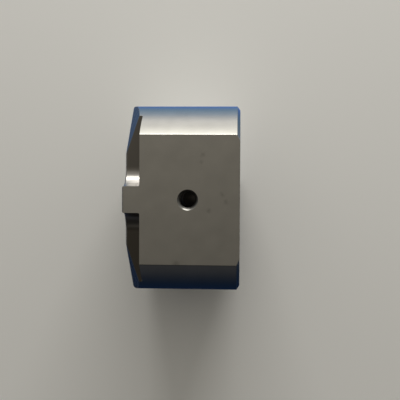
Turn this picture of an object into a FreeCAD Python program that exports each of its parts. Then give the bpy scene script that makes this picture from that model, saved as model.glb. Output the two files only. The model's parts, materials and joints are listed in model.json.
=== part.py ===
import FreeCAD, Part
import math
import os
import Sketcher

# Plain bearing sleeve with a locating flat, of the kind that carries one journal of a gear pump.
# A round bar is turned and bored, and a locating flat is milled along its whole length, so that two
# sleeves can sit face to face in a pump housing. An oil hole with a countersunk mouth goes from the
# flat into the bore. At one end, two relief pockets leave a narrow land in the middle of the flat,
# and a bevel runs down the outside of each pocket.
#
# Millimetres and degrees. The origin is on the bore's axis at mid-length. +X runs along the bore to
# the plain end, +Y across the flat and +Z out of the flat. The land and its pockets are at the -X end.

SIZES = {
    # The turned blank
    "outside_diameter": 50.0,
    "bore_diameter": 20.0,
    "sleeve_length": 29.5,
    "lead_length": 0.75,  # lead chamfer of the plain end, along the axis
    "lead_depth": 1.1,  # the same, towards the axis
    "bore_chamfer": 0.5,  # at both ends of the bore
    # The locating flat
    "flat_height": 19.0,  # from the axis
    # The oil hole
    "oil_hole_diameter": 3.8,
    "oil_mouth_diameter": 5.2,
    "oil_mouth_angle": 90.0,  # the whole cone
    "oil_hole_setback": 13.0,  # from the plain end
    # The relief pockets, and the land between them
    "land_width": 6.7,
    "relief_length": 4.4,  # from the relieved end
    "land_wall": 1.2,  # upright side of the land, from the flat down to the root radius
    "relief_root_radius": 5.0,  # left by the cutter, from that wall to the pocket's floor
    "edge_break": 0.3,  # chamfer round the outline of the relieved end
    # The bevels
    "bevel_setback": 2.9,  # floor left between the root radius and the bevel, at the end
    "bevel_slope": 26.0,  # from the end face
    "bevel_clocking": 45.0,  # about the axis, from the middle of the flat
    # How far a cutting outline runs past the metal
    "cutter_overrun": 2.0,
}

# Sizes that follow from those in the sheet
HALF_LENGTH = "Sizes.sleeve_length / 2"
BORE_RADIUS = "Sizes.bore_diameter / 2"
OUTSIDE_RADIUS = "Sizes.outside_diameter / 2"
PAST_METAL = "Sizes.outside_diameter / 2 + Sizes.cutter_overrun"
OIL_HOLE_PLACE = "Sizes.sleeve_length / 2 - Sizes.oil_hole_setback"
HALF_LAND = "Sizes.land_width / 2"
ABOVE_FLAT = "Sizes.flat_height + Sizes.cutter_overrun"
POCKET_FLOOR = "Sizes.flat_height - Sizes.land_wall - Sizes.relief_root_radius"
FLOOR_EDGE = "Sizes.land_width / 2 + Sizes.relief_root_radius + Sizes.bevel_setback"
CLOCKING = "Sizes.bevel_clocking * 1 deg"
# A bevel leaves the end face where the pocket's floor ends, measured from the axis on its own plane.
BEVEL_START = f"({FLOOR_EDGE}) * sin({CLOCKING}) + ({POCKET_FLOOR}) * cos({CLOCKING})"
BEVEL_RUN = f"({PAST_METAL} - ({BEVEL_START})) * tan(Sizes.bevel_slope * 1 deg)"

START, END, CENTRE = 1, 2, 3
ORIGIN = (-1, START)
X_AXIS = FreeCAD.Vector(1, 0, 0)
UP = FreeCAD.Vector(0, 0, 1)


def make_sheet(doc):
    """Keeps every driving size in one spreadsheet, with its name as the cell's alias."""
    sheet = doc.addObject("Spreadsheet::Sheet", "Sizes")
    for row, (alias, value) in enumerate(SIZES.items(), start=1):
        sheet.set(f"A{row}", alias.replace("_", " "))
        sheet.set(f"B{row}", str(value))
        sheet.setAlias(f"B{row}", alias)
    doc.recompute()


def size(body, formula):
    """Works out a formula over the sheet's sizes, to start a sketch near its solved shape."""
    return float(body.evalExpression(formula))


def origin_plane(body, role):
    """Finds one of the body's own origin planes."""
    return next(feature for feature in body.Origin.OriginFeatures if feature.Role == role)


def add_sketch(body, name, role):
    """Starts a sketch on an origin plane of the body."""
    sketch = body.newObject("Sketcher::SketchObject", name)
    sketch.AttachmentSupport = (origin_plane(body, role), [""])
    sketch.MapMode = "FlatFace"
    return sketch


def draw_line(sketch, start, end):
    """Draws one line, and keeps it level or upright if it starts so."""
    line = sketch.addGeometry(Part.LineSegment(FreeCAD.Vector(*start), FreeCAD.Vector(*end)))
    if start[0] == end[0]:
        sketch.addConstraint(Sketcher.Constraint("Vertical", line))
    if start[1] == end[1]:
        sketch.addConstraint(Sketcher.Constraint("Horizontal", line))
    return line


def draw_outline(sketch, corners):
    """Draws a closed outline of lines through the corners, joined end to start."""
    lines = [draw_line(sketch, a, b) for a, b in zip(corners, corners[1:] + corners[:1])]
    for line, following in zip(lines, lines[1:] + lines[:1]):
        sketch.addConstraint(Sketcher.Constraint("Coincident", line, END, following, START))
    return lines


def dimension(sketch, name, kind, places, formula):
    """Adds a named dimension to a sketch and binds it to the sheet."""
    value = sketch.evalExpression(formula)
    index = sketch.addConstraint(Sketcher.Constraint(kind, *places, value))
    sketch.renameConstraint(index, name)
    sketch.setExpression(f"Constraints.{name}", formula)


def add_pocket(doc, body, name, sketch):
    """Cuts a sketch's outline right through the body, both ways."""
    pocket = body.newObject("PartDesign::Pocket", name)
    pocket.Profile = sketch
    pocket.Type = "ThroughAll"
    pocket.SideType = "Symmetric"
    doc.recompute()
    return pocket


def mirror_across_land(doc, body, name, feature):
    """Repeats a cut on the other side of the land."""
    mirrored = body.newObject("PartDesign::Mirrored", name)
    mirrored.Originals = [feature]
    mirrored.MirrorPlane = (origin_plane(body, "XZ_Plane"), [""])
    body.Tip = mirrored
    doc.recompute()
    return mirrored


def turned_blank(doc, body):
    """Revolves the half section of the turned and bored bar about the X axis."""
    half_length = size(body, HALF_LENGTH)
    bore_radius = size(body, BORE_RADIUS)
    outside_radius = size(body, OUTSIDE_RADIUS)
    chamfer = SIZES["bore_chamfer"]
    sketch = add_sketch(body, "BlankSection", "XZ_Plane")
    corners = [
        (-half_length + chamfer, bore_radius),
        (half_length - chamfer, bore_radius),
        (half_length, bore_radius + chamfer),
        (half_length, outside_radius - SIZES["lead_depth"]),
        (half_length - SIZES["lead_length"], outside_radius),
        (-half_length, outside_radius),
        (-half_length, bore_radius + chamfer),
    ]
    bore, _, plain_end, lead, outside, relieved_end, _ = draw_outline(sketch, corners)
    dimension(sketch, "bore_radius", "DistanceY", (*ORIGIN, bore, START), BORE_RADIUS)
    dimension(sketch, "outside_radius", "DistanceY", (*ORIGIN, outside, START), OUTSIDE_RADIUS)
    dimension(sketch, "to_plain_end", "DistanceX", (*ORIGIN, plain_end, START), HALF_LENGTH)
    dimension(sketch, "to_relieved_end", "DistanceX", (relieved_end, START, *ORIGIN), HALF_LENGTH)
    dimension(sketch, "plain_chamfer_x", "DistanceX", (bore, END, plain_end, START), "Sizes.bore_chamfer")
    dimension(sketch, "plain_chamfer_z", "DistanceY", (bore, END, plain_end, START), "Sizes.bore_chamfer")
    dimension(sketch, "end_chamfer_x", "DistanceX", (relieved_end, END, bore, START), "Sizes.bore_chamfer")
    dimension(sketch, "end_chamfer_z", "DistanceY", (bore, START, relieved_end, END), "Sizes.bore_chamfer")
    dimension(sketch, "lead_length", "DistanceX", (lead, END, lead, START), "Sizes.lead_length")
    dimension(sketch, "lead_depth", "DistanceY", (lead, START, lead, END), "Sizes.lead_depth")
    blank = body.newObject("PartDesign::Revolution", "TurnedBlank")
    blank.Profile = sketch
    blank.ReferenceAxis = (sketch, ["H_Axis"])
    doc.recompute()
    return blank


def locating_flat(doc, body):
    """Mills the flat along the whole length."""
    height = SIZES["flat_height"]
    reach = size(body, PAST_METAL)
    sketch = add_sketch(body, "FlatSection", "YZ_Plane")
    corners = [(-reach, height), (reach, height), (reach, reach), (-reach, reach)]
    floor, _, top, _ = draw_outline(sketch, corners)
    dimension(sketch, "flat_height", "DistanceY", (*ORIGIN, floor, START), "Sizes.flat_height")
    dimension(sketch, "cut_top", "DistanceY", (*ORIGIN, top, START), PAST_METAL)
    dimension(sketch, "cut_right", "DistanceX", (*ORIGIN, floor, END), PAST_METAL)
    dimension(sketch, "cut_left", "DistanceX", (floor, START, *ORIGIN), PAST_METAL)
    return add_pocket(doc, body, "LocatingFlat", sketch)


def oil_hole(doc, body):
    """Drills the oil hole from the flat into the bore, and countersinks its mouth."""
    sketch = add_sketch(body, "OilHoleCentre", "XY_Plane")
    sketch.setExpression("AttachmentOffset.Base.z", "Sizes.flat_height")
    centre = FreeCAD.Vector(size(body, OIL_HOLE_PLACE), 0, 0)
    circle = sketch.addGeometry(Part.Circle(centre, UP, SIZES["oil_hole_diameter"] / 2))
    sketch.addConstraint(Sketcher.Constraint("PointOnObject", circle, CENTRE, -1))
    dimension(sketch, "diameter", "Diameter", (circle,), "Sizes.oil_hole_diameter")
    dimension(sketch, "place", "DistanceX", (*ORIGIN, circle, CENTRE), OIL_HOLE_PLACE)
    doc.recompute()
    hole = body.newObject("PartDesign::Hole", "OilHole")
    hole.Profile = sketch
    hole.DepthType = "Dimension"
    hole.DrillPoint = "Flat"
    hole.HoleCutType = "Countersink"
    hole.HoleCutCustomValues = True
    hole.setExpression("Diameter", "Sizes.oil_hole_diameter")
    hole.setExpression("Depth", "Sizes.flat_height")
    hole.setExpression("HoleCutDiameter", "Sizes.oil_mouth_diameter")
    hole.setExpression("HoleCutCountersinkAngle", "Sizes.oil_mouth_angle")
    doc.recompute()
    return hole


def relief_pocket(doc, body):
    """Mills the pocket on the +Y side of the land, down from the flat and in from the end."""
    side = size(body, HALF_LAND)
    top = size(body, ABOVE_FLAT)
    floor = size(body, POCKET_FLOOR)
    reach = size(body, PAST_METAL)
    radius = SIZES["relief_root_radius"]
    sketch = add_sketch(body, "PocketSection", "YZ_Plane")
    sketch.setExpression("AttachmentOffset.Base.z", f"-{HALF_LENGTH}")
    land_side = draw_line(sketch, (side, top), (side, floor + radius))
    root_circle = Part.Circle(FreeCAD.Vector(side + radius, floor + radius), UP, radius)
    root = sketch.addGeometry(Part.ArcOfCircle(root_circle, math.pi, 1.5 * math.pi))
    pocket_floor = draw_line(sketch, (side + radius, floor), (reach, floor))
    outer_side = draw_line(sketch, (reach, floor), (reach, top))
    pocket_top = draw_line(sketch, (reach, top), (side, top))
    sketch.addConstraint(Sketcher.Constraint("Tangent", land_side, END, root, START))
    sketch.addConstraint(Sketcher.Constraint("Tangent", root, END, pocket_floor, START))
    sketch.addConstraint(Sketcher.Constraint("Coincident", pocket_floor, END, outer_side, START))
    sketch.addConstraint(Sketcher.Constraint("Coincident", outer_side, END, pocket_top, START))
    sketch.addConstraint(Sketcher.Constraint("Coincident", pocket_top, END, land_side, START))
    dimension(sketch, "root_radius", "Radius", (root,), "Sizes.relief_root_radius")
    dimension(sketch, "half_land", "DistanceX", (*ORIGIN, land_side, START), HALF_LAND)
    dimension(sketch, "cut_top", "DistanceY", (*ORIGIN, land_side, START), ABOVE_FLAT)
    dimension(sketch, "floor_height", "DistanceY", (*ORIGIN, pocket_floor, END), POCKET_FLOOR)
    dimension(sketch, "cut_reach", "DistanceX", (*ORIGIN, pocket_floor, END), PAST_METAL)
    pocket = body.newObject("PartDesign::Pocket", "ReliefPocket")
    pocket.Profile = sketch
    pocket.Reversed = True
    pocket.setExpression("Length", "Sizes.relief_length")
    doc.recompute()
    return pocket


def relieved_outline(solid):
    """Names the edges round the outside of the relieved end's face."""
    end_face = min(solid.Faces, key=lambda face: face.CenterOfMass.x)
    outline = end_face.OuterWire.Edges
    numbered = enumerate(solid.Edges, start=1)
    return [f"Edge{number}" for number, edge in numbered if any(map(edge.isSame, outline))]


def break_edges(doc, body, base):
    """Chamfers the outline of the relieved end, so that no sharp edge is left there."""
    chamfer = body.newObject("PartDesign::Chamfer", "EdgeBreak")
    chamfer.Base = (base, relieved_outline(base.Shape))
    chamfer.setExpression("Size", "Sizes.edge_break")
    body.Tip = chamfer
    doc.recompute()
    return chamfer


def outer_bevel(doc, body):
    """Mills the bevel outside the +Y pocket. Its section lies in a plane clocked about the axis."""
    end = -size(body, HALF_LENGTH)
    start = size(body, BEVEL_START)
    reach = size(body, PAST_METAL)
    run = size(body, BEVEL_RUN)
    sketch = add_sketch(body, "BevelSection", "XZ_Plane")
    clocked = FreeCAD.Rotation(X_AXIS, -SIZES["bevel_clocking"])
    sketch.AttachmentOffset = FreeCAD.Placement(FreeCAD.Vector(), clocked)
    sketch.setExpression("AttachmentOffset.Rotation.Angle", "-Sizes.bevel_clocking")
    slope, top, face = draw_outline(sketch, [(end, start), (end + run, reach), (end, reach)])
    dimension(sketch, "to_end", "DistanceX", (face, END, *ORIGIN), HALF_LENGTH)
    dimension(sketch, "bevel_start", "DistanceY", (*ORIGIN, slope, START), BEVEL_START)
    dimension(sketch, "cut_reach", "DistanceY", (*ORIGIN, top, START), PAST_METAL)
    dimension(sketch, "run", "DistanceX", (top, END, top, START), BEVEL_RUN)
    return add_pocket(doc, body, "OuterBevel", sketch)


def make_sleeve(doc):
    """Builds the sleeve in the order in which it is made: turned, milled flat, drilled, relieved."""
    body = doc.addObject("PartDesign::Body", "Sleeve")
    body.Label = "bearing_sleeve"
    blank = turned_blank(doc, body)
    flat = locating_flat(doc, body)
    hole = oil_hole(doc, body)
    pocket = relief_pocket(doc, body)
    both_pockets = mirror_across_land(doc, body, "OtherPocket", pocket)
    broken = break_edges(doc, body, both_pockets)
    bevel = outer_bevel(doc, body)
    both_bevels = mirror_across_land(doc, body, "OtherBevel", bevel)
    check_cuts([blank, flat, hole, pocket, both_pockets, broken, bevel, both_bevels])
    return body


def check_cuts(steps):
    """Stops the build if a cutting step took nothing off the solid before it."""
    for before, after in zip(steps, steps[1:]):
        if after.Shape.Volume >= before.Shape.Volume:
            raise RuntimeError(f"{after.Label} cut nothing")


def check_document(doc, bodies):
    """Stops the build if any object failed, or a piece isn't one valid solid."""
    for item in doc.Objects:
        if "Invalid" in item.State or "Error" in item.State:
            raise RuntimeError(f"{item.Label} failed: {item.State}")
    for body in bodies:
        if body.Shape.isNull() or not body.Shape.isValid() or len(body.Shape.Solids) != 1:
            raise RuntimeError(f"{body.Label} isn't one valid solid")


def write_parts(bodies):
    """Writes each piece to its own file, named by its label."""
    os.makedirs("parts", exist_ok=True)
    for body in bodies:
        body.Shape.exportStep(f"parts/{body.Label}.step")
        box = body.Shape.optimalBoundingBox()
        extents = f"{box.XLength:.2f} x {box.YLength:.2f} x {box.ZLength:.2f} mm"
        print(f"{body.Label}: {body.Shape.Volume:.1f} mm3, {extents}")


doc = FreeCAD.newDocument("BearingSleeve")
make_sheet(doc)
pieces = [make_sleeve(doc)]
doc.recompute()
check_document(doc, pieces)
write_parts(pieces)
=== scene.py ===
# %% [markdown]
# Plain bearing sleeve, lesson 1: what we are making
#
# The sleeve carries one journal of a gear pump. A round bar is turned and bored, a large flat is
# ground along it so that two sleeves can sit face to face, an oil hole is drilled through the flat,
# and two pockets are milled beside a narrow land at one end. The solid already exists at its real
# size, but its edges are perfectly sharp and it has no finish. Materials alone would dress it. We
# model it again instead, with the fine broken edges that make metal look like metal, and with a
# finish for each way in which the steel was cut.

# %% Load the frame
import json
import math

import bmesh
import bpy
from mathutils import Matrix, Vector


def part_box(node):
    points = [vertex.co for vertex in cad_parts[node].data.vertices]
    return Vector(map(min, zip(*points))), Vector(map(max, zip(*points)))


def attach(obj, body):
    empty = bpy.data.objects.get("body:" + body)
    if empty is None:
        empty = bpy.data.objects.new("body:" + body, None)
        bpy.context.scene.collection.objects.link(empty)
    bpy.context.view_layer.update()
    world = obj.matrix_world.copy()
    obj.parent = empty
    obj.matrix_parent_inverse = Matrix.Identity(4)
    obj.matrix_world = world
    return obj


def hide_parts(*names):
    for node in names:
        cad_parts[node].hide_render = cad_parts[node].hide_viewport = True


MM = 0.001  # a millimetre in Blender's metres

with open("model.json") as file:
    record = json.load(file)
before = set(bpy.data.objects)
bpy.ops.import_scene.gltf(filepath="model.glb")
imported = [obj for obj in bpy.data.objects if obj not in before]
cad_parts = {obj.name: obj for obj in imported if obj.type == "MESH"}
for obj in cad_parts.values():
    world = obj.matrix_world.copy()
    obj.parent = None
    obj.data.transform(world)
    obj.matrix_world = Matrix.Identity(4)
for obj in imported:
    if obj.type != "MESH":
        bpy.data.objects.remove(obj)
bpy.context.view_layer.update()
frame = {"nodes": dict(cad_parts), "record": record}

# %% [markdown]
# Lesson 2: the main sizes
#
# Everything is in metres, in the solid's own frame: X runs along the bore, Y across the flat and Z
# out of it. The sizes could all be typed in, but then the model might drift apart from the solid.
# So the outer sizes are read from the solid, and the holes from its mounts. The smaller sizes are
# named in millimetres, in the cells that first need them.

# %% Main sizes
_, node_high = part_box("bearing_sleeve")
HALF_LENGTH = node_high.x
OUTSIDE_RADIUS = node_high.y
FLAT_HEIGHT = node_high.z

mounts = {mount["name"]: mount for mount in frame["record"]["mounts"]}
BORE_RADIUS = mounts["shaft_bore"]["dims"]["r_mm"] * MM
OIL_HOLE_RADIUS = mounts["oil_hole"]["dims"]["r_mm"] * MM
OIL_HOLE_PLACE = mounts["oil_hole"]["pos_m"][0]  # along the sleeve

print("length and outside diameter, mm:", round(2 * HALF_LENGTH / MM, 2), round(2 * OUTSIDE_RADIUS / MM, 2))
print("bore and oil hole, mm:", round(2 * BORE_RADIUS / MM, 2), round(2 * OIL_HOLE_RADIUS / MM, 2))

# %% [markdown]
# Lesson 3: the camera
#
# The photograph looks almost straight down on the flat, from about 170 mm above it and from over
# its right-hand end. A constraint could aim the camera, but a camera that looks down has no natural
# "up". So its axes are worked out from where it looks and which way is up in the picture, and then
# it is rolled a third of a degree. Its lens comes from a focal length in pixels, because that is
# what can be worked out from a picture.

# %% Camera
CAMERA_PLACE = Vector((14.3, 5.654, 188.52)) * MM
CAMERA_AIM = Vector((4.848, 0.04, 19.0)) * MM
CAMERA_ROLL = math.radians(0.314)
CAMERA_RANGE = (1 * MM, 20.0)  # nearest and farthest that it sees
PICTURE_UP = Vector((0, 1, 0))
FOCAL_PIXELS = 684.0
PICTURE_PIXELS = 400


def add_camera():
    """Adds the scene's camera."""
    data = bpy.data.cameras.new("camera")
    data.lens = data.sensor_width * FOCAL_PIXELS / PICTURE_PIXELS
    data.clip_start, data.clip_end = CAMERA_RANGE
    forward = (CAMERA_AIM - CAMERA_PLACE).normalized()
    right = forward.cross(PICTURE_UP).normalized()
    axes = Matrix((right, right.cross(forward), -forward)).transposed().to_4x4()
    camera = bpy.data.objects.new("camera", data)
    bpy.context.scene.collection.objects.link(camera)
    camera.matrix_world = Matrix.Translation(CAMERA_PLACE) @ axes @ Matrix.Rotation(CAMERA_ROLL, 4, "Z")
    bpy.context.scene.camera = camera
    return camera


camera = add_camera()
print("lens, mm:", round(camera.data.lens, 2))

# %% [markdown]
# Lesson 4: selecting by place
#
# Modelling by hand means pointing at faces and edges. A script could point by their numbers, but
# those change with every cut. So it asks where they are. One small helper opens a piece for editing
# with nothing selected, and one selects the elements that pass a test and counts them. Another
# measures a piece's volume, which tells after each cut how much metal it took.

# %% Helpers for edit mode
TINY = 0.005 * MM  # closer than this counts as the same place
MERGED = TINY / 5  # closer than this, two points are made one


def start_edit(piece, kind):
    """Opens one piece in edit mode, with nothing selected and one kind of element to pick."""
    bpy.ops.object.select_all(action="DESELECT")
    piece.select_set(True)
    bpy.context.view_layer.objects.active = piece
    bpy.ops.object.mode_set(mode="EDIT")
    bpy.ops.mesh.select_mode(type=kind)
    bpy.ops.mesh.select_all(action="DESELECT")


def pick(piece, kind, test):
    """Selects the elements that pass a test, and nothing else, and counts them."""
    mesh = bmesh.from_edit_mesh(piece.data)
    elements = {"VERT": mesh.verts, "EDGE": mesh.edges, "FACE": mesh.faces}[kind]
    bpy.ops.mesh.select_all(action="DESELECT")
    found = [element for element in elements if test(element)]
    for element in found:
        element.select_set(True)
    bmesh.update_edit_mesh(piece.data)
    return len(found)


def end_edit():
    """Goes back to object mode, which also writes the changes to the mesh."""
    bpy.ops.object.mode_set(mode="OBJECT")


def volume_of(piece):
    """The volume inside a closed mesh, in cubic millimetres."""
    mesh = bmesh.new()
    mesh.from_mesh(piece.data)
    bmesh.ops.remove_doubles(mesh, verts=mesh.verts, dist=MERGED)
    volume = mesh.calc_volume() / MM**3
    mesh.free()
    return round(volume, 1)


print("volume of the solid, mm3:", volume_of(frame["nodes"]["bearing_sleeve"]))

# %% [markdown]
# Lesson 5: the turned bar
#
# The real sleeve starts as a turned bar, so the model starts as a cylinder along X. At the plain end
# the bar has a lead chamfer, which helps the sleeve into its housing. A bevel would cut it at 45
# degrees, and this one is steeper. So we cut a ring where it starts, and shrink the end face towards
# the axis. The bar stays solid for now: the later cuts are cleaner while each end is one face.

# %% Turned bar
ROUND_STEPS = 288  # sides of the round, 1.25 degrees each
QUARTER_TURN = math.radians(90)  # lays an upright cylinder along X
LEAD_LENGTH = 0.75 * MM  # lead chamfer of the plain end, along the axis
LEAD_DEPTH = 1.1 * MM  # the same, towards the axis

bpy.ops.object.select_all(action="DESELECT")
bpy.ops.mesh.primitive_cylinder_add(
    vertices=ROUND_STEPS,
    radius=OUTSIDE_RADIUS,
    depth=2 * HALF_LENGTH,
    end_fill_type="NGON",
    rotation=(0, QUARTER_TURN, 0),
)
sleeve = bpy.context.active_object
sleeve.name = "ground_sleeve"
bpy.ops.object.transform_apply(location=False, rotation=True, scale=False)

start_edit(sleeve, "VERT")
bpy.ops.mesh.select_all(action="SELECT")
bpy.ops.mesh.bisect(plane_co=(HALF_LENGTH - LEAD_LENGTH, 0, 0), plane_no=(1, 0, 0))
pick(sleeve, "VERT", lambda vert: vert.co.x > HALF_LENGTH - TINY)
shrink = (OUTSIDE_RADIUS - LEAD_DEPTH) / OUTSIDE_RADIUS
bpy.ops.transform.resize(value=(1, shrink, shrink), center_override=(0, 0, 0))
end_edit()
print("turned bar:", len(sleeve.data.vertices), "points,", volume_of(sleeve), "mm3")

# %% [markdown]
# Lesson 6: the locating flat
#
# The flat is where the two sleeves of a pair meet, so on the real one a grinder takes the top of the
# bar off. A boolean with a box would do the same, but bisect needs no cutter: it cuts along a plane,
# clears what lies outside it and fills the opening with a single flat face.

# %% Locating flat
start_edit(sleeve, "FACE")
bpy.ops.mesh.select_all(action="SELECT")
bpy.ops.mesh.bisect(plane_co=(0, 0, FLAT_HEIGHT), plane_no=(0, 0, 1), clear_outer=True, use_fill=True)
end_edit()
print("with its flat:", volume_of(sleeve), "mm3")

# %% [markdown]
# Lesson 7: where the pockets lie
#
# Oil passes the land through a pocket on each side of it. A pocket has an upright side of the land,
# a round root and a level floor. Only the driving sizes are typed in: the floor's height follows
# from the flat, the wall and the root, so it moves with them. The cutter that we model runs past the
# metal on the open sides, because a boolean is unsure about faces that lie in the same plane.

# %% Sizes of the pockets
HALF_LAND = 3.35 * MM
LAND_WALL = 1.2 * MM  # upright side of the land, down to the root
ROOT_RADIUS = 5.0 * MM
RELIEF_LENGTH = 4.4 * MM  # from the relieved end
WALL_CORNER = 0.4 * MM  # round of the cutter's corner, along the pocket's upright end wall
OVERRUN = 2.0 * MM  # how far a cutter goes past the metal

POCKET_FLOOR = FLAT_HEIGHT - LAND_WALL - ROOT_RADIUS
pocket_low = Vector((-HALF_LENGTH - OVERRUN, HALF_LAND, POCKET_FLOOR))
pocket_high = Vector((-HALF_LENGTH + RELIEF_LENGTH, OUTSIDE_RADIUS + OVERRUN, FLAT_HEIGHT + OVERRUN))
print("pocket floor above the axis, mm:", round(POCKET_FLOOR / MM, 2))

# %% [markdown]
# Lesson 8: the cutter's shape
#
# A milling cutter with a large corner radius leaves the round root, and its small corner leaves a
# round along the upright wall at the inner end. We could draw that outline and extrude it, but a
# bevel makes the same rounds in even steps. So we model what the cutter takes away: a box, whose
# lower inner edge is bevelled first, and then the edges of its inner end.

# %% What the cutter takes away
ROOT_STEPS = 28
WALL_CORNER_STEPS = 5


def at_root(edge):
    """True for the cutter's lower inner edge, which becomes the root."""
    return all((vert.co.yz - pocket_low.yz).length < TINY for vert in edge.verts)


def along_end_wall(edge):
    """True for the inner and lower edges of the cutter's end, where the wall meets land, root and floor."""
    at_end = all(vert.co.x > pocket_high.x - TINY for vert in edge.verts)
    outer = all(vert.co.y > pocket_high.y - TINY for vert in edge.verts)
    upper = all(vert.co.z > pocket_high.z - TINY for vert in edge.verts)
    return at_end and not outer and not upper


bpy.ops.object.select_all(action="DESELECT")
bpy.ops.mesh.primitive_cube_add(size=1, location=(pocket_low + pocket_high) / 2)
pocket = bpy.context.active_object
pocket.scale = pocket_high - pocket_low
bpy.ops.object.transform_apply(location=True, rotation=False, scale=True)

start_edit(pocket, "EDGE")
pick(pocket, "EDGE", at_root)
bpy.ops.mesh.bevel(offset=ROOT_RADIUS, segments=ROOT_STEPS, affect="EDGES", clamp_overlap=False)
wall_edges = pick(pocket, "EDGE", along_end_wall)
bpy.ops.mesh.bevel(offset=WALL_CORNER, segments=WALL_CORNER_STEPS, affect="EDGES", clamp_overlap=False)
end_edit()
print("edges along the end wall:", wall_edges, "- the cutter's shape:", volume_of(pocket), "mm3")

# %% [markdown]
# Lesson 9: cutting both pockets
#
# The pockets are mirror images of each other across the land. They could be cut one by one, but one
# cutter that is mirrored keeps them alike. A boolean takes it off the bar, and the exact solver
# copes with the long thin faces that the bevels made.

# %% Relief pockets


def subtract(piece, cutter):
    """Takes a cutter's shape out of a piece, and removes the cutter."""
    boolean = piece.modifiers.new("cut", "BOOLEAN")
    boolean.operation = "DIFFERENCE"
    boolean.solver = "EXACT"
    boolean.object = cutter
    bpy.ops.object.select_all(action="DESELECT")
    piece.select_set(True)
    bpy.context.view_layer.objects.active = piece
    bpy.ops.object.modifier_apply(modifier=boolean.name)
    bpy.data.objects.remove(cutter)


mirror = pocket.modifiers.new("other side", "MIRROR")
mirror.use_axis = (False, True, False)
bpy.ops.object.modifier_apply(modifier=mirror.name)
subtract(sleeve, pocket)
print("with its pockets:", volume_of(sleeve), "mm3")

# %% [markdown]
# Lesson 10: the chamfer round the relieved end
#
# A small chamfer runs round the whole outline of this end, along the land, down into the pockets and
# round the outside, so that no sharp edge meets the pump's gear. It could come last, but it is made
# now, while the end is still one face whose edges can all be found by their place.

# %% Edge break
EDGE_BREAK = 0.3 * MM


def at_relieved_end(edge):
    """True for the edges in the plane of the relieved end."""
    return all(vert.co.x < -HALF_LENGTH + TINY for vert in edge.verts)


start_edit(sleeve, "EDGE")
outline = pick(sleeve, "EDGE", at_relieved_end)
bpy.ops.mesh.bevel(offset=EDGE_BREAK, segments=1, affect="EDGES", clamp_overlap=False)
end_edit()
print("edges round the end:", outline, "- with its chamfer:", volume_of(sleeve), "mm3")

# %% [markdown]
# Lesson 11: the bevels outside the pockets
#
# The end of a milling cutter takes a sloping bevel off the outside of each pocket. Each is one
# plane, so bisect cuts it, as it cut the flat. The plane leaves the end face where the pocket's
# floor ends, slopes back at 26 degrees, and is clocked 45 degrees round the axis.

# %% Bevels
BEVEL_SETBACK = 2.9 * MM  # pocket floor between the root and the bevel
BEVEL_SLOPE = math.radians(26)  # from the end face
BEVEL_CLOCKING = math.radians(45)  # about the axis, from the middle of the flat
FLOOR_EDGE = HALF_LAND + ROOT_RADIUS + BEVEL_SETBACK

start_edit(sleeve, "EDGE")
for side in (1, -1):
    outward = Vector((0, side * math.sin(BEVEL_CLOCKING), math.cos(BEVEL_CLOCKING)))
    floor_end = Vector((-HALF_LENGTH, side * FLOOR_EDGE, POCKET_FLOOR))
    slope_normal = Vector((-math.cos(BEVEL_SLOPE), 0, 0)) + math.sin(BEVEL_SLOPE) * outward
    bpy.ops.mesh.select_all(action="SELECT")
    bpy.ops.mesh.bisect(plane_co=floor_end, plane_no=slope_normal, clear_outer=True, use_fill=True)
end_edit()
print("with its bevels:", volume_of(sleeve), "mm3")

# %% [markdown]
# Lesson 12: the bore
#
# The bore runs the whole length and has a chamfer at each end. We could cut it and bevel its rims
# afterwards, but then those edges have to be found. Instead the cutter gets the chamfers: a plain
# cylinder whose two end faces are drawn out into cones.

# %% Bore
BORE_STEPS = 192
BORE_CHAMFER = 0.5 * MM
CHAMFER_SLOPE = math.radians(45)  # of the bore's chamfers, and of the oil hole's countersink
FACING = 0.99  # cosine from which a face counts as facing a direction


def flare_end(piece, outward, radius, slope):
    """Draws the end face on one side of a cutter out into a cone, which slopes from that face."""
    start_edit(piece, "FACE")
    pick(piece, "FACE", lambda face: face.normal.dot(outward) > FACING)
    bpy.ops.mesh.extrude_region_move(TRANSFORM_OT_translate={"value": outward * OVERRUN})
    flared = (radius + OVERRUN / math.tan(slope)) / radius
    mesh = bmesh.from_edit_mesh(piece.data)
    end_points = [vert.co for vert in mesh.verts if vert.select]
    middle = sum(end_points, Vector()) / len(end_points)
    bpy.ops.transform.resize(value=(flared, flared, flared), center_override=middle)
    end_edit()


bpy.ops.object.select_all(action="DESELECT")
bpy.ops.mesh.primitive_cylinder_add(
    vertices=BORE_STEPS,
    radius=BORE_RADIUS,
    depth=2 * (HALF_LENGTH - BORE_CHAMFER),
    rotation=(0, QUARTER_TURN, 0),
)
bore = bpy.context.active_object
bpy.ops.object.transform_apply(location=True, rotation=True, scale=False)
flare_end(bore, Vector((1, 0, 0)), BORE_RADIUS, CHAMFER_SLOPE)
flare_end(bore, Vector((-1, 0, 0)), BORE_RADIUS, CHAMFER_SLOPE)
subtract(sleeve, bore)
print("bored:", volume_of(sleeve), "mm3")

# %% [markdown]
# Lesson 13: the oil hole
#
# Oil reaches the shaft through a hole from the flat into the bore, and its mouth is countersunk. The
# cutter is made as the bore's was, with one end drawn out. It comes after the bore, because the hole
# has to break into it, and it starts at the axis, in empty space, so that no face is left behind.

# %% Oil hole
OIL_HOLE_STEPS = 96
OIL_MOUTH_RADIUS = 2.6 * MM
drill_top = FLAT_HEIGHT - (OIL_MOUTH_RADIUS - OIL_HOLE_RADIUS) * math.tan(CHAMFER_SLOPE)

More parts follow.
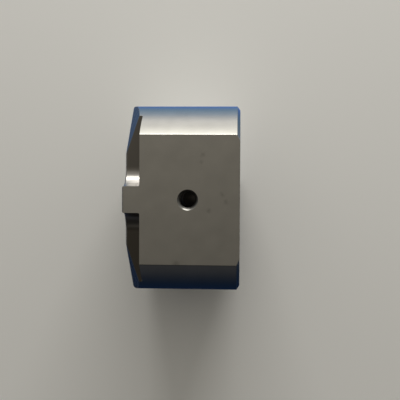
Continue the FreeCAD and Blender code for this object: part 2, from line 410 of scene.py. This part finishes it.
bpy.ops.object.select_all(action="DESELECT")
bpy.ops.mesh.primitive_cylinder_add(
    vertices=OIL_HOLE_STEPS,
    radius=OIL_HOLE_RADIUS,
    depth=drill_top,
    location=(OIL_HOLE_PLACE, 0, drill_top / 2),
)
drill = bpy.context.active_object
bpy.ops.object.transform_apply(location=True, rotation=True, scale=False)
flare_end(drill, Vector((0, 0, 1)), OIL_HOLE_RADIUS, CHAMFER_SLOPE)
subtract(sleeve, drill)
print("drilled:", volume_of(sleeve), "mm3, straight wall up to", round(drill_top / MM, 2), "mm")

# %% [markdown]
# Lesson 14: broken edges
#
# No machined edge is perfectly sharp. Deburring leaves a break of a few hundredths of a millimetre,
# and it is this that catches the light. A bevel modifier would break every edge, also the ragged one
# where the oil hole meets the bore. So we pick the edges that turn by more than twenty degrees,
# apart from those inside the bore, and give them a fine two-step bevel. The narrow faces that this
# makes are picked again straight away and remembered, because they get a finish of their own.

# %% Broken edges
BURR_BREAK = 0.04 * MM
BREAK_MARGIN = 1.1  # a strip of the break may measure this much wider, where strips meet
SHARP = math.radians(20)  # an edge that turns by more is broken
BORE_REGION = BORE_RADIUS + 1.5 * BORE_CHAMFER  # the bore and its chamfers, and a little round them


def is_outer_sharp(edge):
    """True for a sharp edge that isn't where the oil hole breaks into the bore."""
    if len(edge.link_faces) != 2 or edge.calc_face_angle(0) < SHARP:
        return False
    middle = (edge.verts[0].co + edge.verts[1].co) / 2
    return middle.yz.length > BORE_REGION or abs(middle.x) > HALF_LENGTH - BORE_CHAMFER - TINY


def is_break(face):
    """True for one of the narrow strips that the breaks are made of."""
    width = 2 * face.calc_area() / face.calc_perimeter()
    return width < BREAK_MARGIN * BURR_BREAK and face.calc_center_median().yz.length > BORE_REGION


start_edit(sleeve, "EDGE")
bpy.ops.mesh.select_all(action="SELECT")
bpy.ops.mesh.remove_doubles(threshold=MERGED)
broken = pick(sleeve, "EDGE", is_outer_sharp)
bpy.ops.mesh.bevel(offset=BURR_BREAK, segments=2, affect="EDGES", clamp_overlap=False)
bpy.ops.mesh.select_mode(type="FACE")
pick(sleeve, "FACE", is_break)
end_edit()
rubbed_faces = {face.index for face in sleeve.data.polygons if face.select}
print("broken edges:", broken, "- narrow faces:", len(rubbed_faces))

# %% [markdown]
# Lesson 15: smooth shading
#
# A turned surface is round, and its facets must not show, while a ground face must stay flat to the
# light right up to its edge. Smooth shading alone would bend the light near every edge. Weighted
# normals let the large faces decide, so only the breaks look round.

# %% Shading
SMOOTH = math.radians(32)  # an edge that turns by more stays sharp to the light
LARGE_FACE_WEIGHT = 90  # above 50, large faces decide more of each normal than small ones do

bpy.ops.object.shade_smooth_by_angle(angle=SMOOTH)
weighted = sleeve.modifiers.new("weighted normals", "WEIGHTED_NORMAL")
weighted.keep_sharp = True
weighted.weight = LARGE_FACE_WEIGHT
bpy.ops.object.modifier_apply(modifier=weighted.name)
print("finished:", volume_of(sleeve), "mm3,", len(sleeve.data.polygons), "faces")

# %% [markdown]
# Lesson 16: one steel, several finishes
#
# The whole sleeve is one piece of hardened steel. A single grey would do for its colour, but what
# tells its surfaces apart is how each was cut. Before the finishes come two helpers: one turns a hex
# colour, as a colour picker gives it, into the linear light that a shader needs, and one adds a node
# with its settings and links, so that a pattern reads as a few short lines.

# %% Colours and nodes


def linear(code):
    """The linear colour of an sRGB hex code, by the standard's two-part curve."""
    channels = [int(code[i : i + 2], 16) / 255 for i in (1, 3, 5)]
    return (*[c / 12.92 if c <= 0.04045 else ((c + 0.055) / 1.055) ** 2.4 for c in channels], 1)


def add(tree, kind, inputs=None, **settings):
    """Adds a node, sets its options, and gives its inputs values or other nodes' outputs."""
    node = tree.nodes.new(kind)
    for name, value in settings.items():
        setattr(node, name, value)
    for name, value in (inputs or {}).items():
        if isinstance(value, bpy.types.NodeSocket):
            tree.links.new(value, node.inputs[name])
        else:
            node.inputs[name].default_value = value
    return node


CLEAN_STEEL = "#aeaca7"
print("clean steel in linear light:", [round(channel, 3) for channel in linear(CLEAN_STEEL)])

# %% [markdown]
# Lesson 17: a steel finish
#
# Every cutting tool leaves fine lines, and their pattern is called the lay. An image of scratches
# would stretch over the round side, so the lay is noise in the sleeve's own space, squeezed across
# the lines and drawn out along them. It lifts the surface by a micrometre or so and makes the
# roughness uneven. Larger patches, a little lighter and darker, keep the steel from looking painted.
# Real lines lie some hundredths of a millimetre apart, too fine for the picture. The noise is drawn
# about ten times coarser, so that it shows, with finer octaves on top.

# %% A steel finish
MICRON = 0.001 * MM
LINE_OCTAVES = 3.0
LINE_FINENESS = 0.6  # how strong each finer octave is
NOISE_RANGE = (0.25, 0.75)  # where nearly all of the noise lies
PATCH = 4 * MM  # size of the lighter and darker patches
PATCH_OCTAVES = 4.0
PATCH_SHADE = 0.1  # how much lighter and darker they are


def scaled(colour, factor):
    """A linear colour made lighter or darker."""
    return (*[channel * factor for channel in colour[:3]], 1)


def mottled(tree, place, tint):
    """A tint in patches that are a little lighter and darker."""
    patches = add(tree, "ShaderNodeTexNoise", {"Vector": place, "Scale": 1 / PATCH, "Detail": PATCH_OCTAVES})
    shades = {
        "Factor": patches.outputs[0],
        "A": scaled(linear(tint), 1 - PATCH_SHADE),
        "B": scaled(linear(tint), 1 + PATCH_SHADE),
    }
    return add(tree, "ShaderNodeMix", shades, data_type="RGBA").outputs["Result"]


def steel_finish(name, lay, spacing, reach, depth, roughness, uneven, tint=CLEAN_STEEL):
    """A steel with lines of one spacing, reach and depth, and a roughness that varies by the uneven share."""
    material = bpy.data.materials.new(name)
    material.use_nodes = True
    tree = material.node_tree
    shader = tree.nodes["Principled BSDF"]
    shader.inputs["Metallic"].default_value = 1.0
    place = add(tree, "ShaderNodeTexCoord").outputs["Object"]
    squeeze = {0: lay(tree, place), 1: (1 / spacing, 1 / reach, 1 / reach)}
    squeezed = add(tree, "ShaderNodeVectorMath", squeeze, operation="MULTIPLY").outputs[0]
    noise = {"Vector": squeezed, "Scale": 1.0, "Detail": LINE_OCTAVES, "Roughness": LINE_FINENESS}
    lines = add(tree, "ShaderNodeTexNoise", noise).outputs[0]
    spread = {
        "Value": lines,
        "From Min": NOISE_RANGE[0],
        "From Max": NOISE_RANGE[1],
        "To Min": roughness * (1 - uneven),
        "To Max": roughness * (1 + uneven),
    }
    worn = add(tree, "ShaderNodeMapRange", spread).outputs["Result"]
    bump = add(tree, "ShaderNodeBump", {"Height": lines, "Strength": 1.0, "Distance": depth})
    tree.links.new(mottled(tree, place, tint), shader.inputs["Base Color"])
    tree.links.new(worn, shader.inputs["Roughness"])
    tree.links.new(bump.outputs["Normal"], shader.inputs["Normal"])
    return material


print("patches of", round(PATCH / MM, 1), "mm, lighter or darker by", PATCH_SHADE)

# %% [markdown]
# Lesson 18: the ground flat and the turned side
#
# A grinding wheel runs across the flat, and a lathe tool round the outside, so on both the lines lie
# square to the bore. The two could share a finish. But the round side was polished after turning,
# and shows the light beyond it as a sharp bright band, while the flat gives it back softly.

# %% Ground flat and turned side


def across_x(tree, place):
    """The lay of lines that run square to the bore: the place as it is."""
    return place


# A soft even sheen. Real grinding lines lie about 0.05 mm apart.
ground = steel_finish(
    "ground_flat_steel",
    lay=across_x,
    spacing=0.5 * MM,
    reach=14 * MM,
    depth=0.3 * MICRON,
    roughness=0.25,
    uneven=0.05,
)
# Smooth bands of light along the sleeve. Real polished turning lines lie about 0.05 mm apart.
turned = steel_finish(
    "turned_round_steel",
    lay=across_x,
    spacing=0.6 * MM,
    reach=25 * MM,
    depth=0.1 * MICRON,
    roughness=0.165,
    uneven=0.02,
)
print("finishes:", ground.name, turned.name)

# %% [markdown]
# Lesson 19: the milled pockets
#
# In a pocket the cutter moved along the bore, and left lines that way on the floor and in the root.
# The noise could follow them on a UV map, but that needs unwrapping. Instead its first coordinate
# is the distance from the sleeve's middle minus the height, which falls all the way in along the
# floor, round the root and up the wall.

# %% Milled pockets
POCKET_STEEL = "#9a9793"


def across_pocket(tree, place):
    """The lay of lines along the bore, from the pocket's floor up round the root."""
    xyz = add(tree, "ShaderNodeSeparateXYZ", {"Vector": place})
    from_middle = add(tree, "ShaderNodeMath", {0: xyz.outputs["Y"]}, operation="ABSOLUTE")
    around = {0: from_middle.outputs[0], 1: xyz.outputs["Z"]}
    round_root = add(tree, "ShaderNodeMath", around, operation="SUBTRACT")
    parts = {"X": round_root.outputs[0], "Y": xyz.outputs["X"]}
    return add(tree, "ShaderNodeCombineXYZ", parts).outputs[0]


# Duller and a little darker than the flat. Real lines of the cut lie about 0.05 mm apart.
milled = steel_finish(
    "milled_pocket_steel",
    lay=across_pocket,
    spacing=0.5 * MM,
    reach=6 * MM,
    depth=1.5 * MICRON,
    roughness=0.31,
    uneven=0.10,
    tint=POCKET_STEEL,
)
print("finish:", milled.name)

# %% [markdown]
# Lesson 20: the end-milled walls and bevels
#
# The upright end walls and the bevels were cut by the end of a cutter that moved in towards the
# land. Its teeth leave bowed lines. Straight noise would look brushed by hand, so the distance from
# the sleeve's middle grows with the square of the height, which bows the lines as the root is bowed.

# %% End-milled walls and bevels


def across_arcs(tree, place):
    """The lay of bowed lines, as the end of a cutter leaves them while it moves in towards the land."""
    xyz = add(tree, "ShaderNodeSeparateXYZ", {"Vector": place})
    from_middle = add(tree, "ShaderNodeMath", {0: xyz.outputs["Y"]}, operation="ABSOLUTE")
    above_root = {0: xyz.outputs["Z"], 1: POCKET_FLOOR + ROOT_RADIUS}
    height = add(tree, "ShaderNodeMath", above_root, operation="SUBTRACT").outputs[0]
    squared = add(tree, "ShaderNodeMath", {0: height, 1: height}, operation="MULTIPLY")
    bend = {0: squared.outputs[0], 1: 1 / (2 * ROOT_RADIUS), 2: from_middle.outputs[0]}
    bowed = add(tree, "ShaderNodeMath", bend, operation="MULTIPLY_ADD")
    parts = {"X": bowed.outputs[0], "Y": xyz.outputs["Z"], "Z": xyz.outputs["X"]}
    return add(tree, "ShaderNodeCombineXYZ", parts).outputs[0]


# Faint bowed strokes in a satin grey. Real tooth marks lie about 0.05 mm apart.
end_milled = steel_finish(
    "end_milled_steel",
    lay=across_arcs,
    spacing=0.5 * MM,
    reach=12 * MM,
    depth=0.6 * MICRON,
    roughness=0.27,
    uneven=0.08,
    tint=POCKET_STEEL,
)
print("finish:", end_milled.name)

# %% [markdown]
# Lesson 21: the faced ends and the honed bore
#
# A lathe faces the two ends, and its tool leaves rings round the bore. A stone hones the bore, and
# its marks are too fine to see one by one. Its grey is a little darker than the flat's, and darker
# still as painted shade inside the bore. The rings could be a wave pattern, but that is too even.
# Instead the same noise is read by its distance from the axis.

# %% Faced ends and honed bore


def across_radius(tree, place):
    """The lay of rings round the bore."""
    xyz = add(tree, "ShaderNodeSeparateXYZ", {"Vector": place})
    in_plane = add(tree, "ShaderNodeCombineXYZ", {"Y": xyz.outputs["Y"], "Z": xyz.outputs["Z"]})
    radius = add(tree, "ShaderNodeVectorMath", {0: in_plane.outputs[0]}, operation="LENGTH")
    parts = {"X": radius.outputs["Value"], "Y": xyz.outputs["Y"], "Z": xyz.outputs["Z"]}
    return add(tree, "ShaderNodeCombineXYZ", parts).outputs[0]


# A flat satin grey with faint rings. Real facing rings lie about 0.1 mm apart.
faced = steel_finish(
    "faced_end_steel",
    lay=across_radius,
    spacing=0.5 * MM,
    reach=30 * MM,
    depth=2 * MICRON,
    roughness=0.34,
    uneven=0.10,
)
# A darker grey, partly painted shade inside the bore, with a soft glow along it. Real honing lines lie about
# 0.02 mm apart.
honed = steel_finish(
    "honed_bore_steel_and_painted_shade",
    lay=across_x,
    spacing=0.4 * MM,
    reach=10 * MM,
    depth=1 * MICRON,
    roughness=0.25,
    uneven=0.10,
    # darker than honed steel alone: partly painted shade inside the bore
    tint="#7f7b75",
)
print("finishes:", faced.name, honed.name)

# %% [markdown]
# Lesson 22: the oil hole and the rubbed edges
#
# A drill leaves a rough wall, darkened by old oil, and its nearly black tint is partly painted shade
# down the hole. The countersink was cut clean, and is a little rougher than the flat, and its much
# darker tint is painted shade round the hole's mouth. The broken edges were rubbed with a stone. They
# could keep the finish of their neighbours, but then they would flash like mirrors.
# Rougher and darker, they give a soft thin line.

# %% Oil hole and rubbed edges

# Almost no light comes back: old oil, and painted shade down the hole. Real drill marks lie about 0.1 mm
# apart.
drilled = steel_finish(
    "drilled_hole_oil_and_painted_shade",
    lay=across_x,
    spacing=0.4 * MM,
    reach=4 * MM,
    depth=5 * MICRON,
    roughness=0.45,
    uneven=0.2,
    # nearly black: old oil, and painted shade down the hole
    tint="#1a1917",
)
# A dark tint, painted shade round the hole's mouth, with a bright crescent on the side that faces the light.
# Real cutter marks lie about 0.05 mm apart.
countersunk = steel_finish(
    "countersunk_steel_painted_shade",
    lay=across_x,
    spacing=0.4 * MM,
    reach=4 * MM,
    depth=1 * MICRON,
    roughness=0.30,
    uneven=0.1,
    # much darker than the flat: painted shade round the hole's mouth
    tint="#646360",
)
# A soft glint, not a flash. Real stone scratches lie about 0.03 mm apart.
rubbed = steel_finish(
    "rubbed_edge_steel",
    lay=across_x,
    spacing=0.3 * MM,
    reach=3 * MM,
    depth=0.5 * MICRON,
    roughness=0.45,
    uneven=0.2,
    tint="#84827d",
)
FINISHES = [ground, turned, milled, end_milled, faced, honed, drilled, countersunk, rubbed]
print("finishes:", [finish.name for finish in FINISHES])

# %% [markdown]
# Lesson 23: the film of oil
#
# A film of old oil lies on the level floor of each pocket and makes it dull and brown, while the
# root above it was wiped bright. It could be a thin piece of its own, but at a few micrometres it
# would only flicker against the floor. So it is a tint of the milled steel that fades out just above
# the floor, with a clear coat over it, and the pocket on the -Y side is a little darker than the one
# on the +Y side.

# %% Film of oil
FILM_COLOUR = "#4a453e"
FILM_TOP = 0.25 * MM  # above the floor, where the film has faded out
MINUS_Y_TINT_SHARE, PLUS_Y_TINT_SHARE = 1.0, 0.72  # share of the tint in the pockets on the -Y and +Y sides
OIL_COAT = 0.6
OIL_COAT_ROUGHNESS = 0.2


def dirty(material, amount, tint):
    """Blends a finish's colour towards a tint by an amount that other nodes work out."""
    tree = material.node_tree
    base_colour = tree.nodes["Principled BSDF"].inputs["Base Color"]
    colours = {"Factor": amount, "A": base_colour.links[0].from_socket, "B": linear(tint)}
    blend = add(tree, "ShaderNodeMix", colours, data_type="RGBA")
    tree.links.new(blend.outputs["Result"], base_colour)


def film_amount(tree):
    """How much of the film's tint there is: more on the -Y side, and fading with the height above the floor.
    """
    xyz = add(tree, "ShaderNodeSeparateXYZ", {"Vector": add(tree, "ShaderNodeTexCoord").outputs["Object"]})
    across = {
        "Value": xyz.outputs["Y"],
        "From Min": -HALF_LAND,
        "From Max": HALF_LAND,
        "To Min": MINUS_Y_TINT_SHARE,
        "To Max": PLUS_Y_TINT_SHARE,
    }
    upwards = {
        "Value": xyz.outputs["Z"],
        "From Min": POCKET_FLOOR,
        "From Max": POCKET_FLOOR + FILM_TOP,
        "To Min": add(tree, "ShaderNodeMapRange", across).outputs["Result"],
        "To Max": 0.0,
    }
    return add(tree, "ShaderNodeMapRange", upwards, interpolation_type="SMOOTHSTEP").outputs["Result"]


dirty(milled, film_amount(milled.node_tree), FILM_COLOUR)
milled_shader = milled.node_tree.nodes["Principled BSDF"]
milled_shader.inputs["Coat Weight"].default_value = OIL_COAT
milled_shader.inputs["Coat Roughness"].default_value = OIL_COAT_ROUGHNESS
print("film of oil up to", round(FILM_TOP / MM, 2), "mm above the floor")

# %% [markdown]
# Lesson 24: the stains
#
# Drops of oil have dried on the flat and left a few small stains. Random spots would be quicker, but
# they would miss the real ones, so each is listed with its place, radius and strength. Noise shifts
# the place at which a spot is read, which makes its outline ragged, and where two overlap the
# stronger one counts.

# %% Stains on the flat
STAIN_COLOUR = "#4c473f"
STAINS = [  # along and across the flat, radius, all in mm, and strength
    (5.5, 11.2, 0.6, 0.2),
    (5.2, 9.4, 0.5, 0.17),
    (10.3, 1.4, 0.6, 0.26),
    (11.3, -0.4, 0.6, 0.24),
    (7.0, -2.6, 0.6, 0.26),
    (-1.1, -16.1, 0.9, 0.3),
    (9.2, -7.6, 1.8, 0.05),
    (10.2, -11.5, 1.6, 0.06),
]
STAIN_FADE = 1.5  # how far out a stain fades, in its own radii
RAGGED_SHIFT = 1.4 * MM  # full range of the shift that makes the outlines ragged
RAGGED_WAVES = 1.7 / MM  # the shift changes about this often over a length
RAGGED_OCTAVES = 4.0
RAGGED_FINENESS = 0.6


def ragged_place(tree):
    """The place on the flat, shifted a little by noise."""
    place = add(tree, "ShaderNodeTexCoord").outputs["Object"]
    noise = {"Vector": place, "Scale": RAGGED_WAVES, "Detail": RAGGED_OCTAVES, "Roughness": RAGGED_FINENESS}
    shift = add(tree, "ShaderNodeTexNoise", noise).outputs["Color"]
    moved = {0: shift, 1: (RAGGED_SHIFT, RAGGED_SHIFT, 0), 2: place}
    return add(tree, "ShaderNodeVectorMath", moved, operation="MULTIPLY_ADD").outputs[0]


def stain_amount(tree):
    """How stained each place on the flat is."""
    place = ragged_place(tree)
    mean_shift = Vector((RAGGED_SHIFT / 2, RAGGED_SHIFT / 2, 0))
    stained = None
    for along, across, radius, strength in STAINS:
        middle = Vector((along * MM, across * MM, FLAT_HEIGHT)) + mean_shift
        distance = add(tree, "ShaderNodeVectorMath", {0: place, 1: middle}, operation="DISTANCE")
        fade = {
            "Value": distance.outputs["Value"],
            "From Min": STAIN_FADE * radius * MM,
            "From Max": 0.0,
            "To Max": strength,
        }
        spot = add(tree, "ShaderNodeMapRange", fade, interpolation_type="SMOOTHSTEP").outputs["Result"]
        if stained is not None:
            spot = add(tree, "ShaderNodeMath", {0: spot, 1: stained}, operation="MAXIMUM").outputs[0]
        stained = spot
    return stained


dirty(ground, stain_amount(ground.node_tree), STAIN_COLOUR)
print("stains on the flat:", len(STAINS))

# %% [markdown]
# Lesson 25: which face has which finish
#
# On the real sleeve each cut ends at an edge, so each face has one finish. We could paint them by
# hand, but the mesh has thousands of faces. A short list of questions about a face's place and
# direction finds its finish, and the first that fits decides.

# %% Faces and their finishes
LEVEL = 0.999  # cosine from which a face counts as exactly square to an axis
STEEP = 0.7  # cosine from which a pocket's face looks along the bore, as end walls and bevels do
ROUND_SAG = 3 * TINY  # how far the middle of a facet may lie inside the round


def finish_of(face):
    """The finish of a face, from where it is and which way it looks."""
    centre, normal = face.center, face.normal
    from_axis = centre.yz.length
    from_hole = (centre - Vector((OIL_HOLE_PLACE, 0, centre.z))).length
    if face.index in rubbed_faces:
        return rubbed
    if normal.z > LEVEL and centre.z > FLAT_HEIGHT - TINY:
        return ground
    if from_hole < OIL_MOUTH_RADIUS and centre.z > 0 and from_axis > BORE_RADIUS - TINY:
        return drilled if centre.z < drill_top else countersunk
    if abs(centre.x) > HALF_LENGTH - TINY and abs(normal.x) > LEVEL:
        return faced
    if from_axis < BORE_RADIUS + BORE_CHAMFER:
        return honed
    if from_axis > OUTSIDE_RADIUS - ROUND_SAG or centre.x > HALF_LENGTH - LEAD_LENGTH:
        return turned
    return end_milled if abs(normal.x) > STEEP else milled


for finish in FINISHES:
    sleeve.data.materials.append(finish)
counts = dict.fromkeys([finish.name for finish in FINISHES], 0)
for face in sleeve.data.polygons:
    finish = finish_of(face)
    face.material_index = FINISHES.index(finish)
    counts[finish.name] += 1
print("faces with each finish:", counts)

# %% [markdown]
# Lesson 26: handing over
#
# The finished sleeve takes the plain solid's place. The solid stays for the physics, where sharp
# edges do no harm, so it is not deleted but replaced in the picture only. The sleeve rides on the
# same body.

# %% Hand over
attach(sleeve, "root")
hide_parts("bearing_sleeve")
print("handed over:", sleeve.name)

# %% [markdown]
# Lesson 27: the floor
#
# A plain pale floor under the round side shows the shadow and nothing else. A studio sweep would
# hide the horizon, but the camera looks down and never sees it. The floor is hidden from
# reflections, because polished steel would show every part of it, and the surroundings say better
# what the steel should show.

# %% Floor
FLOOR_SIZE = 3.0  # each way, in metres
FLOOR_COLOUR = "#f4f4f2"
FLOOR_ROUGHNESS = 0.9
FLOOR_GLOSS = 0.1


def add_floor():
    """Adds a floor of matt pale paint, which only catches light and shadow."""
    bpy.ops.object.select_all(action="DESELECT")
    bpy.ops.mesh.primitive_plane_add(size=FLOOR_SIZE, location=(0, 0, -OUTSIDE_RADIUS))
    floor = bpy.context.active_object
    floor.name = "floor"
    material = bpy.data.materials.new("pale_matt_paint")
    material.use_nodes = True
    shader = material.node_tree.nodes["Principled BSDF"]
    shader.inputs["Base Color"].default_value = linear(FLOOR_COLOUR)
    shader.inputs["Roughness"].default_value = FLOOR_ROUGHNESS
    shader.inputs["Specular IOR Level"].default_value = FLOOR_GLOSS
    floor.data.materials.append(material)
    floor.visible_glossy = False
    return floor


floor = add_floor()
print("floor below the axis, mm:", round(-floor.location.z / MM, 2))

# %% [markdown]
# Lesson 28: the key light
#
# The main light falls on the real sleeve from low beyond the flat's far side, as daylight does
# through a window. It gives the bright line along the flat's upper edge and the bright root of the
# upper pocket. A lamp would give a hard glint, so the key is a wide soft box at the same height,
# turned to face the sleeve.

# %% Key light
KEY_DISTANCE = 0.6  # metres, as its width and height are
KEY_ELEVATION = math.radians(18)
KEY_SIDE = math.radians(5)  # from the +Y direction towards +X
KEY_WIDTH = 0.42
KEY_HEIGHT = 0.13
KEY_POWER = 2.6  # watts
KEY_COLOUR = (1.0, 0.98, 0.94)  # daylight, a little warm


def add_key():
    """Adds a soft box low beyond the flat's far side."""
    data = bpy.data.lights.new("key", "AREA")
    data.shape = "RECTANGLE"
    data.size = KEY_WIDTH
    data.size_y = KEY_HEIGHT
    data.energy = KEY_POWER
    data.color = KEY_COLOUR
    key = bpy.data.objects.new("key", data)
    bpy.context.scene.collection.objects.link(key)
    level = Vector((math.sin(KEY_SIDE), math.cos(KEY_SIDE), 0))
    direction = math.cos(KEY_ELEVATION) * level + math.sin(KEY_ELEVATION) * Vector((0, 0, 1))
    key.location = KEY_DISTANCE * direction
    key.rotation_euler = direction.to_track_quat("Z", "Y").to_euler()
    return key


key = add_key()
print("key light at, mm:", [round(v / MM) for v in key.location])

# %% [markdown]
# Lesson 29: what the steel mirrors low down
#
# Metal shows its surroundings more than itself, so they are the real work here. The round sides
# mirror everything from straight down up to the horizon, one height after the other: blue at the
# bottom, then grey, then the bright room on the far side, and all of it dim on the near side.
# Boxes of light would leave hard edges in the steel. So the world has a soft scale of colours by
# height for each side, and mixes them by how far a direction turns towards the bright side.

# %% Low surroundings
FAR_SIDE = {  # height of the direction, from straight down -1 to straight up 1: linear colour
    -1.0: (0.12, 0.23, 0.58),
    -0.92: (0.13, 0.25, 0.56),
    -0.78: (0.25, 0.39, 0.55),
    -0.60: (0.50, 0.61, 0.76),
    -0.45: (0.90, 0.93, 0.96),
    -0.36: (1.27, 1.27, 1.26),
    -0.15: (1.42, 1.41, 1.35),
    0.0: (1.83, 1.81, 1.71),
    0.12: (2.10, 2.07, 1.93),
    0.60: (0.40, 0.38, 0.34),
}
NEAR_SIDE = {
    -0.87: (0.005, 0.013, 0.036),
    -0.64: (0.009, 0.017, 0.036),
    -0.42: (0.021, 0.027, 0.041),
    -0.22: (0.040, 0.044, 0.053),
    0.0: (0.058, 0.060, 0.066),
    0.15: (0.030, 0.029, 0.028),
    0.35: (0.020, 0.019, 0.017),
}
BRIGHT_SIDE = math.radians(3)  # from the +Y direction towards +X
SIDE_FALL = 2.4  # how fast the far side's colours fade round to the near side


def colours_by_height(tree, direction_z):
    """The near and the far side's colours at the height of a direction."""
    level = add(tree, "ShaderNodeMapRange", {"Value": direction_z, "From Min": -1.0})
    sides = []
    for colours in (NEAR_SIDE, FAR_SIDE):
        ramp = add(tree, "ShaderNodeValToRGB", {"Fac": level.outputs["Result"]})
        stops = ramp.color_ramp.elements
        for number, (height, colour) in enumerate(colours.items()):
            stop = stops[number] if number < len(stops) else stops.new(1.0)
            stop.position = (height + 1) / 2
            stop.color = (*colour, 1)
        sides.append(ramp.outputs["Color"])
    return sides


def far_share(tree, direction):
    """How much of the far side's colours a direction shows: 1 towards the bright side, 0 away from it."""
    level_part = add(tree, "ShaderNodeVectorMath", {0: direction, 1: (1, 1, 0)}, operation="MULTIPLY")
    level_unit = add(tree, "ShaderNodeVectorMath", {0: level_part.outputs[0]}, operation="NORMALIZE")
    bright = (math.sin(BRIGHT_SIDE), math.cos(BRIGHT_SIDE), 0)
    facing = add(tree, "ShaderNodeVectorMath", {0: level_unit.outputs[0], 1: bright}, operation="DOT_PRODUCT")
    share = add(tree, "ShaderNodeMapRange", {"Value": facing.outputs["Value"], "From Min": -1.0})
    fall = add(tree, "ShaderNodeMath", {0: share.outputs["Result"], 1: SIDE_FALL}, operation="POWER")
    return fall.outputs[0]


print("heights with a colour:", len(FAR_SIDE), "far,", len(NEAR_SIDE), "near")

# %% [markdown]
# Lesson 30: what the flat mirrors
#
# The flat looks straight up, so it mirrors only what is overhead: a dim warm ceiling. One colour
# would make the flat look painted. In the photograph it is lighter towards the far side and the
# land, so the ceiling is too. The low colours fade into it well above the horizon.

# %% Ceiling and world
CEILING = (0.272, 0.255, 0.221)
CEILING_LIGHTER = (-0.2, 1, 0)  # the direction in which it gets lighter
CEILING_SPAN = 0.25  # how far the flat's reflections reach from straight up, either way
CEILING_SHADES = (0.48, 1.48)  # its brightness at both ends of that span
CEILING_START, CEILING_FULL = 0.6, 0.97  # heights between which it takes over from the low colours


def ceiling_colour(tree, direction):
    """The ceiling's colour, lighter towards one side."""
    along = add(tree, "ShaderNodeVectorMath", {0: direction, 1: CEILING_LIGHTER}, operation="DOT_PRODUCT")
    span = {
        "Value": along.outputs["Value"],
        "From Min": -CEILING_SPAN,
        "From Max": CEILING_SPAN,
        "To Min": CEILING_SHADES[0],
        "To Max": CEILING_SHADES[1],
    }
    lit = {0: CEILING, "Scale": add(tree, "ShaderNodeMapRange", span).outputs["Result"]}
    return add(tree, "ShaderNodeVectorMath", lit, operation="SCALE").outputs[0]


def add_world():
    """Surroundings with one colour per height on the far and near sides, and a dim warm ceiling."""
    world = bpy.data.worlds.new("studio")
    bpy.context.scene.world = world
    world.use_nodes = True
    tree = world.node_tree
    direction = add(tree, "ShaderNodeTexCoord").outputs["Generated"]
    height = add(tree, "ShaderNodeSeparateXYZ", {"Vector": direction}).outputs["Z"]
    near, far = colours_by_height(tree, height)
    low = {"Factor": far_share(tree, direction), "A": near, "B": far}
    rise = {"Value": height, "From Min": CEILING_START, "From Max": CEILING_FULL}
    both = {
        "Factor": add(tree, "ShaderNodeMapRange", rise, interpolation_type="SMOOTHSTEP").outputs["Result"],
        "A": add(tree, "ShaderNodeMix", low, data_type="RGBA").outputs["Result"],
        "B": ceiling_colour(tree, direction),
    }
    colour = add(tree, "ShaderNodeMix", both, data_type="RGBA").outputs["Result"]
    tree.links.new(colour, tree.nodes["Background"].inputs["Color"])
    return world


world = add_world()
bpy.context.scene.view_settings.view_transform = "Standard"
print("nodes in the world:", len(world.node_tree.nodes))
